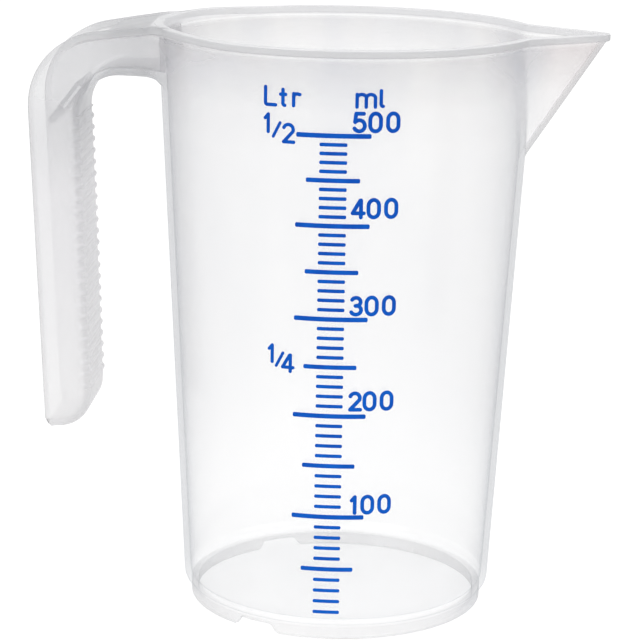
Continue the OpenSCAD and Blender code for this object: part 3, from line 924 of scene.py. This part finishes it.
def mix_shaders(tree, share, first, second):
    made = node(tree, "ShaderNodeMixShader")
    for socket, value in zip(made.inputs, (share, first, second)):
        connect(tree, value, socket)
    return made.outputs["Shader"]


# Share of milk in the plastic's skin at heights in millimetres, on the cup and the handle. On the
# cup it is partly the plastic's haze and partly painted shade that grows towards the rim, with a
# dip just under the rim band that paints a highlight line
CUP_HAZE_AND_PAINTED_SHADE = ((0, 0.13), (2.7, 0.13), (3.1, 0.01), (20, 0.012), (33, 0.025), (45, 0.045),
            (56, 0.058), (78, 0.066), (98, 0.072), (112, 0.08), (121, 0.12), (127, 0.22),
            (132.2, 0.32), (132.7, 0.12), (133.2, 0.1), (133.5, 0.4), (135, 0.4))
HANDLE_MILK = ((41, 0.5), (60, 0.55), (95, 0.6), (112, 0.42), (120, 0.28), (135, 0.28))
# Factor on the spout, share of painted shade in the thick edges, range of the flow marks, gain of
# painted shade at a slant
SPOUT_MILK = 0.75
EDGE_SHADE_MILK = 0.6
FLOW_MILK = (0.85, 1.15)
SLANT_SHADE_GAIN = 1.8
# Colours of the milk, and where they give way to the next in millimetres out or up. The handle's
# grey top tone is painted shade in its arm
CUP_WARM, CUP_COOL = (0.625, 0.605, 0.60, 1), (0.575, 0.58, 0.62, 1)
HANDLE_LOW, HANDLE_MIDDLE = (0.89, 0.885, 0.89, 1), (0.86, 0.855, 0.865, 1)
HANDLE_TOP_SHADE = (0.60, 0.60, 0.615, 1)
# Painted light: the rim's top and inside, above the band's base, take a lighter tone than the
# wall, as if lit from above
RIM_TOP_LIGHT = (0.86, 0.86, 0.87, 1)
SPOUT_TONE = (0.65, 0.595, 0.595, 1)
# Painted shade: the grey of the rim band, keel, lips and the grip's free edge
EDGE_SHADE_TONE = (0.60, 0.60, 0.61, 1)
# Painted shade along slanted silhouettes
GRAZE_SHADE_TONE = (0.42, 0.42, 0.43, 1)
GRAZE_SHADE_SHARE = 0.3
SPOUT_FROM, RIM_FROM = (43, 48), (133.2, 133.6)
MIDDLE_FROM, TOP_FROM = (50, 95), (96, 126)
# Noises: waves per metre, detail, stretch; and how far they shift the cup's colour
FLOW_NOISE, FLOW_RANGE = (45, 3, (1, 1, 0.3)), (0.35, 0.65)
CLOUD_NOISE, CLOUD_RANGE = (130, 4), (0.4, 0.6)
GRAIN_NOISE = (1400, 2)
FLOW_SHIFT, CLOUD_SHIFT = 0.7, 0.3
# Clear part, gloss and absorption, with the clear part's grey tint at a slant as painted shade;
# the powers tell how near to grazing an effect begins
CLEAR_TONE, CLEAR_SLANT_SHADE = (1, 1, 1, 1), (0.72, 0.735, 0.755, 1)
SLANT_POWER, GLOSS_POWER, CLEAR_POWER = 2.0, 5.0, 6.0
GLOSS_ROUGHNESS = (0.10, 0.2)
GLOSS_LOW, GLOSS_EDGE = 0.038, 0.3
EDGE_DULL = 0.7
GRAIN_STRENGTH, GRAIN_DEPTH = 0.03, 0.0002
ABSORB_COLOUR = (0.50, 0.51, 0.535, 1)
ABSORB_DENSITY = 27.0


def reached(tree, value, limits):
    """Share that runs from 0 to 1 while a place in metres passes two limits in millimetres."""
    low, high = limits
    return ranged(tree, value, low * MM, high * MM)


def milk_share(tree, height, spout, handle, edge, flow, slant_shade):
    """Share of the plastic's skin that is milky: partly its haze, partly painted shade up the cup,
    in the thick edges and at a slant.
    """
    cup = maths(tree, "MULTIPLY", by_height(tree, height, CUP_HAZE_AND_PAINTED_SHADE),
                ranged(tree, spout, 0.0, 1.0, 1.0, SPOUT_MILK))
    milk = mix_numbers(tree, handle, cup, by_height(tree, height, HANDLE_MILK))
    milk = maths(tree, "MULTIPLY", milk, ranged(tree, flow, *FLOW_RANGE, *FLOW_MILK))
    gain = maths(tree, "ADD", maths(tree, "MULTIPLY", slant_shade, SLANT_SHADE_GAIN), 1.0)
    milk = maths(tree, "MULTIPLY", milk, gain)
    return mix_numbers(tree, maths(tree, "MULTIPLY", edge, EDGE_SHADE_MILK), milk, 1.0)


def milk_tone(tree, height, spout, handle, edge, shift, slant_shade):
    """Colour of the milk on the cup, spout, rim, handle, thick edges and at a slant, with painted
    shade in the handle's arm, the thick edges and at a slant, and painted light on the rim's top.
    """
    cup = mix_colours(tree, shift, CUP_WARM, CUP_COOL)
    cup = mix_colours(tree, spout, cup, SPOUT_TONE)
    # Painted light on the rim's top and inside
    cup = mix_colours(tree, reached(tree, height, RIM_FROM), cup, RIM_TOP_LIGHT)
    grip = mix_colours(tree, reached(tree, height, MIDDLE_FROM), HANDLE_LOW, HANDLE_MIDDLE)
    # Painted shade: the handle greys towards its arm
    grip = mix_colours(tree, reached(tree, height, TOP_FROM), grip, HANDLE_TOP_SHADE)
    tone = mix_colours(tree, handle, cup, grip)
    # Painted shade on the thick edges
    tone = mix_colours(tree, edge, tone, EDGE_SHADE_TONE)
    return mix_colours(tree, maths(tree, "MULTIPLY", slant_shade, GRAZE_SHADE_SHARE), tone, GRAZE_SHADE_TONE)


def plastic():
    """Clear plastic: nearly clear low on the cup, milky in the handle, with grey painted shade in
    its thick edges, in the handle's arm and along slanted silhouettes.
    """
    material, tree = new_material("body_plastic")
    place = node(tree, "ShaderNodeTexCoord").outputs["Object"]
    flow = noise(tree, place, *FLOW_NOISE)
    cloud = noise(tree, place, *CLOUD_NOISE)
    grain = noise(tree, place, *GRAIN_NOISE)
    split = node(tree, "ShaderNodeSeparateXYZ")
    tree.links.new(place, split.inputs[0])
    height = split.outputs["Z"]
    spout = reached(tree, split.outputs["X"], SPOUT_FROM)
    handle = node(tree, "ShaderNodeAttribute", attribute_name="handle").outputs["Fac"]
    # The edge mark carries the painted shade of the thick edges
    edge = node(tree, "ShaderNodeAttribute", attribute_name="edge").outputs["Fac"]
    facing = node(tree, "ShaderNodeLayerWeight", Blend=0.5).outputs["Facing"]
    # Painted shade: milk and clear tint darken as the surface turns away, towards the silhouettes
    slant_shade = maths(tree, "POWER", facing, SLANT_POWER)
    milk = milk_share(tree, height, spout, handle, edge, flow, slant_shade)
    shift = maths(tree, "ADD", ranged(tree, cloud, *CLOUD_RANGE, 0.0, CLOUD_SHIFT),
                  ranged(tree, flow, *FLOW_RANGE, 0.0, FLOW_SHIFT))
    tone = milk_tone(tree, height, spout, handle, edge, shift, slant_shade)
    bump = node(tree, "ShaderNodeBump", Strength=GRAIN_STRENGTH, Distance=GRAIN_DEPTH)
    tree.links.new(grain, bump.inputs["Height"])

    diffuse = node(tree, "ShaderNodeBsdfDiffuse")
    through = node(tree, "ShaderNodeBsdfTranslucent")
    for shader in (diffuse, through):
        tree.links.new(tone, shader.inputs["Color"])
    clear = node(tree, "ShaderNodeBsdfTransparent")
    # Painted shade: the clear part greys at a slant
    tint = mix_colours(tree, maths(tree, "POWER", facing, CLEAR_POWER), CLEAR_TONE, CLEAR_SLANT_SHADE)
    tree.links.new(tint, clear.inputs["Color"])
    body = mix_shaders(tree, 0.5, diffuse.outputs[0], through.outputs[0])
    seen = mix_shaders(tree, milk, clear.outputs[0], body)

    rise = maths(tree, "MULTIPLY", maths(tree, "POWER", facing, GLOSS_POWER), GLOSS_EDGE)
    shine = maths(tree, "ADD", rise, GLOSS_LOW)
    shine = maths(tree, "MULTIPLY", shine, ranged(tree, edge, 0.0, 1.0, 1.0, 1.0 - EDGE_DULL))
    gloss = node(tree, "ShaderNodeBsdfGlossy")
    gloss.inputs["Color"].default_value = (1, 1, 1, 1)
    tree.links.new(ranged(tree, cloud, *FLOW_RANGE, *GLOSS_ROUGHNESS), gloss.inputs["Roughness"])
    tree.links.new(bump.outputs["Normal"], gloss.inputs["Normal"])
    surface = mix_shaders(tree, shine, seen, gloss.outputs[0])

    absorb = node(tree, "ShaderNodeVolumeAbsorption", Density=ABSORB_DENSITY)
    absorb.inputs["Color"].default_value = ABSORB_COLOUR
    output = node(tree, "ShaderNodeOutputMaterial")
    tree.links.new(surface, output.inputs["Surface"])
    tree.links.new(absorb.outputs[0], output.inputs["Volume"])
    return material


# Ink: colours where it lies thick and thin, what thins it, and its surface
INK_DARK, INK_LIGHT = (0.001, 0.055, 0.36, 1), (0.002, 0.11, 0.53, 1)
PATCH_NOISE, PATCH_RANGE, PATCH_SHARE = (320, 3), (0.35, 0.65), 0.45
SPECK_NOISE, SPECK_RANGE, SPECK_SHARE = (3200, 2), (0.3, 0.7), 0.15
LOW_SHARE, LOW_END = 0.4, 120
INK_ROUGHNESS = (0.4, 0.6)
INK_SHINE = 0.08
SPECK_STRENGTH, SPECK_DEPTH = 0.15, 0.00003


def ink():
    """Printed blue ink, uneven in thickness from stroke to stroke and lighter low down."""
    material, tree = new_material("scale_ink")
    place = node(tree, "ShaderNodeTexCoord").outputs["Object"]
    patch = noise(tree, place, *PATCH_NOISE)
    speck = noise(tree, place, *SPECK_NOISE)
    split = node(tree, "ShaderNodeSeparateXYZ")
    tree.links.new(place, split.inputs[0])
    share = maths(tree, "ADD", ranged(tree, patch, *PATCH_RANGE, 0.0, PATCH_SHARE),
                  ranged(tree, speck, *SPECK_RANGE, 0.0, SPECK_SHARE))
    low = ranged(tree, split.outputs["Z"], 0.0, LOW_END * MM, LOW_SHARE, 0.0)
    tone = mix_colours(tree, maths(tree, "ADD", share, low), INK_DARK, INK_LIGHT)
    bump = node(tree, "ShaderNodeBump", Strength=SPECK_STRENGTH, Distance=SPECK_DEPTH)
    tree.links.new(speck, bump.inputs["Height"])
    shader = node(tree, "ShaderNodeBsdfPrincipled", Specular_IOR_Level=INK_SHINE)
    tree.links.new(tone, shader.inputs["Base Color"])
    tree.links.new(ranged(tree, patch, *SPECK_RANGE, *INK_ROUGHNESS), shader.inputs["Roughness"])
    tree.links.new(bump.outputs["Normal"], shader.inputs["Normal"])
    output = node(tree, "ShaderNodeOutputMaterial")
    tree.links.new(shader.outputs[0], output.inputs["Surface"])
    return material


# White room: the floor glows for whoever sees it, and a little less for what it lights
FLOOR_COLOUR = (0.2, 0.2, 0.2, 1)
FLOOR_GLOW = 0.84
FLOOR_GLOW_UNSEEN = 0.72
FLOOR_EDGE, FLOOR_DROP = 6000.0, 0.3
# Square lamps: name, place in metres, side in metres, watts; and the point that they aim at
LAMP_AIM = (0, 0, 0.07)
LAMPS = (
    ("key", (-1.3, -1.7, 1.9), 1.6, 22.0),
    ("fill", (1.9, -1.0, 1.2), 1.4, 8.0),
    ("back", (0.3, 1.9, 1.5), 1.4, 8.0),
)


def seen_directly(tree):
    """1 for rays of the camera, of a gloss or let through by a surface, 0 for others."""
    path = node(tree, "ShaderNodeLightPath")
    either = maths(tree, "MAXIMUM", path.outputs["Is Camera Ray"], path.outputs["Is Glossy Ray"])
    return maths(tree, "MAXIMUM", either, path.outputs["Is Transmission Ray"])


def build_sky():
    world = bpy.data.worlds.new("room")
    bpy.context.scene.world = world
    world.use_nodes = True
    tree = world.node_tree
    tree.nodes.clear()
    light = node(tree, "ShaderNodeBackground", Strength=1.0)
    light.inputs["Color"].default_value = (1, 1, 1, 1)
    tree.links.new(light.outputs[0], node(tree, "ShaderNodeOutputWorld").inputs["Surface"])


def build_floor():
    material, tree = new_material("floor")
    diffuse = node(tree, "ShaderNodeBsdfDiffuse")
    diffuse.inputs["Color"].default_value = FLOOR_COLOUR
    glow = node(tree, "ShaderNodeEmission")
    tree.links.new(ranged(tree, seen_directly(tree), 0, 1, FLOOR_GLOW_UNSEEN, FLOOR_GLOW),
                   glow.inputs["Strength"])
    both = node(tree, "ShaderNodeAddShader")
    tree.links.new(diffuse.outputs[0], both.inputs[0])
    tree.links.new(glow.outputs[0], both.inputs[1])
    tree.links.new(both.outputs[0], node(tree, "ShaderNodeOutputMaterial").inputs["Surface"])
    corners = [(x * FLOOR_EDGE, y * FLOOR_EDGE, -FLOOR_DROP)
               for x, y in ((-1, -1), (1, -1), (1, 1), (-1, 1))]
    floor = mesh_from("floor", corners, [(0, 1, 2, 3)])
    floor.data.materials.append(material)


def build_lamps():
    for name, place, size, power in LAMPS:
        lamp = bpy.data.lights.new(name, "AREA")
        lamp.energy = power
        lamp.shape = "SQUARE"
        lamp.size = size
        made = bpy.data.objects.new(name, lamp)
        made.location = place
        ahead = Vector(LAMP_AIM) - Vector(place)
        made.rotation_euler = ahead.to_track_quat("-Z", "Y").to_euler()
        bpy.context.scene.collection.objects.link(made)


# Camera, fitted to the photograph, with places and lens in millimetres
CAMERA_PLACE = (31.71, -559.1, 201.2)
CAMERA_AIM = (-4.91, 0.0, 66.05)
CAMERA_LENS = 138.36
CAMERA_ROLL = math.radians(1.098)


def build_camera():
    data = bpy.data.cameras.new("camera")
    data.sensor_width = 36.0
    data.lens = CAMERA_LENS
    data.clip_start = 0.01
    camera = bpy.data.objects.new("camera", data)
    place, aim = Vector(CAMERA_PLACE) * MM, Vector(CAMERA_AIM) * MM
    ahead = (aim - place).normalized()
    right = ahead.cross(Vector((0, 0, 1))).normalized()
    up = right.cross(ahead)
    right, up = (right * math.cos(CAMERA_ROLL) + up * math.sin(CAMERA_ROLL),
                 up * math.cos(CAMERA_ROLL) - right * math.sin(CAMERA_ROLL))
    turn = Matrix((right, up, -ahead)).transposed()
    camera.matrix_world = Matrix.Translation(place) @ turn.to_4x4()
    bpy.context.scene.collection.objects.link(camera)
    bpy.context.scene.camera = camera


def main():
    moulding = build_moulding()
    mark_shares(moulding)
    lift_root(moulding)
    finish_mesh(moulding, plastic())
    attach(moulding, "root")
    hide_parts("vessel", "foot_ring", "rim", "spout", "handle_arm", "handle_grip",
                "grip_ribs", "handle_brace")

    blue = ink()
    lines = build_scale_lines()
    numerals = build_numerals()
    for piece in (lines, numerals):
        finish_mesh(piece, blue)
        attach(piece, "root")
    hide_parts("scale_lines_100ml", "scale_lines_50ml", "scale_lines_10ml")

    build_sky()
    build_floor()
    build_lamps()
    build_camera()
    bpy.context.scene.view_settings.view_transform = "Standard"


main()
